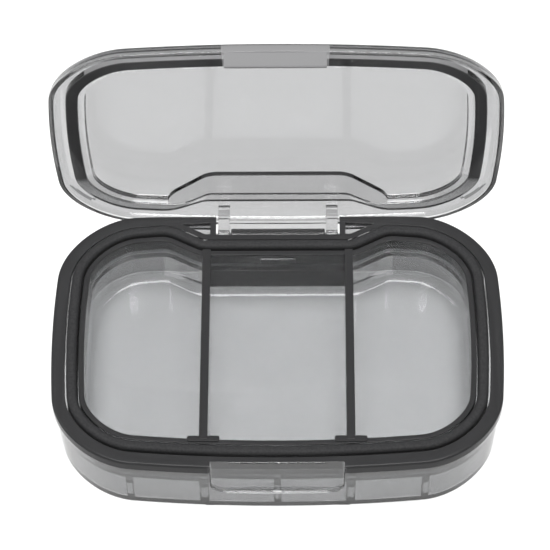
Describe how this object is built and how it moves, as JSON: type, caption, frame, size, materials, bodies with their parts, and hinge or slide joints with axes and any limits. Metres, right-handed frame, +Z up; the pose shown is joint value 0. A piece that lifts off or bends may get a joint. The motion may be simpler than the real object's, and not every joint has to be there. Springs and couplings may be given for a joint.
{
  "type": "travel pill box",
  "caption": "Flat travel pill box: tinted casing, tray and dividers, black seal ring, clear snap lid on a rear hinge, shown open.",
  "frame": {"origin": "centre of the flat underside of the casing", "axes": "+X to the right along the long side, +Y from the latch to the hinge, +Z up"},
  "size_m": [0.09, 0.0651, 0.0705],
  "materials": {
    "smoke_plastic": "polished, see-through smoke grey",
    "clear_plastic": "polished, clear with a light grey tint",
    "black_silicone": "matte moulded silicone",
    "pin_steel": "drawn stainless wire"
  },
  "bodies": {
    "base": {"outer_casing": "smoke_plastic", "inner_tray": "smoke_plastic", "seal_ring": "black_silicone", "divider_left": "smoke_plastic", "divider_right": "smoke_plastic", "hinge_pin": "pin_steel"},
    "lid": {"lid": "clear_plastic"}
  },
  "joints": [
    {"name": "lid_hinge", "type": "hinge", "parent": "base", "child": "lid", "pos_m": [0, 0.0271, 0.013], "axis": [-1, 0, 0], "range_deg": [-88.5, 11.5]}
  ]
}
